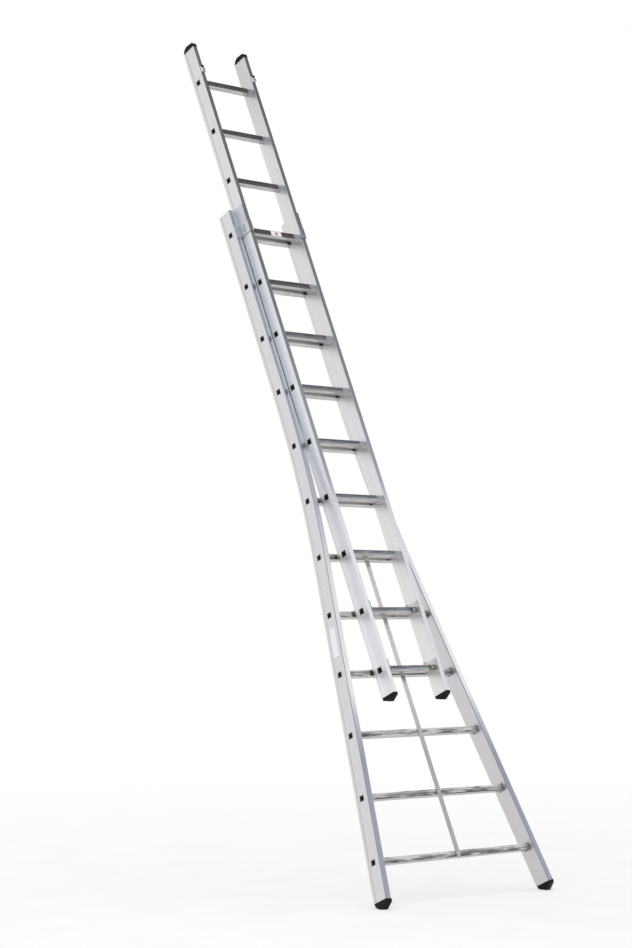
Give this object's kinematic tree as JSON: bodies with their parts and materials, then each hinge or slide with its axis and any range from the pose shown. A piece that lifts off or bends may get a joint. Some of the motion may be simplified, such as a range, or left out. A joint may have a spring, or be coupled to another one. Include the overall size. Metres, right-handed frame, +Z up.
{
  "type": "extension ladder",
  "caption": "Leaning two-section aluminium push-up ladder: a straight upper section slides on a base whose stiles bow out to widely spaced feet.",
  "frame": {"origin": "on the floor, midway between the two feet", "axes": "+Z up, +X to the right along the rungs as seen by the climber, -Y towards the climber; the ladder leans back towards +Y"},
  "size_m": [1.0232, 1.7761, 3.9813],
  "materials": {
    "extrusion": "drawn, fine lengthwise grain",
    "rung": "ribbed, bright drawn",
    "plug": "moulded",
    "cap": "moulded, fine texture",
    "guide": "cut extrusion",
    "liner": "low-friction nylon",
    "zinc": "zinc plated",
    "fastener": "zinc plated",
    "rubber": "moulded",
    "strip": "flat bar",
    "label": "blank printed film"
  },
  "bodies": {
    "base_section": {"base_foot_left": "cap", "base_foot_right": "cap", "base_plugs_left": "plug", "base_plugs_right": "plug", "base_rung_01": "rung", "base_rung_02": "rung", "base_rung_03": "rung", "base_rung_04": "rung", "base_rung_05": "rung", "base_rung_06": "rung", "base_rung_07": "rung", "base_rung_08": "rung", "base_rung_09": "rung", "base_rung_10": "rung", "base_rung_11": "rung", "base_rung_12": "rung", "base_stile_left": "extrusion", "base_stile_right": "extrusion", "base_top_plug_left": "cap", "base_top_plug_right": "cap", "guide_bolts_left": "fastener", "guide_bolts_right": "fastener", "guide_bracket_left": "guide", "guide_bracket_right": "guide", "guide_pad_left": "liner", "guide_pad_right": "liner", "stile_label": "label", "tie_strip": "strip", "tie_strip_rivets": "fastener"},
    "fly_section": {"fly_cap_bottom_left": "cap", "fly_cap_bottom_right": "cap", "fly_cap_top_left": "cap", "fly_cap_top_right": "cap", "fly_plugs_left": "plug", "fly_plugs_right": "plug", "fly_rung_01": "rung", "fly_rung_02": "rung", "fly_rung_03": "rung", "fly_rung_04": "rung", "fly_rung_05": "rung", "fly_rung_06": "rung", "fly_rung_07": "rung", "fly_rung_08": "rung", "fly_rung_09": "rung", "fly_rung_10": "rung", "fly_rung_11": "rung", "fly_rung_12": "rung", "fly_stile_left": "extrusion", "fly_stile_right": "extrusion", "hook_lower_left": "zinc", "hook_lower_right": "zinc", "hook_rivets": "fastener", "hook_upper_left": "zinc", "hook_upper_right": "zinc", "rung_label": "label", "stop_bracket_left": "zinc", "stop_bracket_right": "zinc", "stop_screws": "fastener", "stop_tip_left": "rubber", "stop_tip_right": "rubber"}
  },
  "joints": [
    {"name": "fly_slide", "type": "slide", "parent": "base_section", "child": "fly_section", "axis": [0, 0.4115, 0.9114], "range_m": [-0.84, 1.4]}
  ]
}
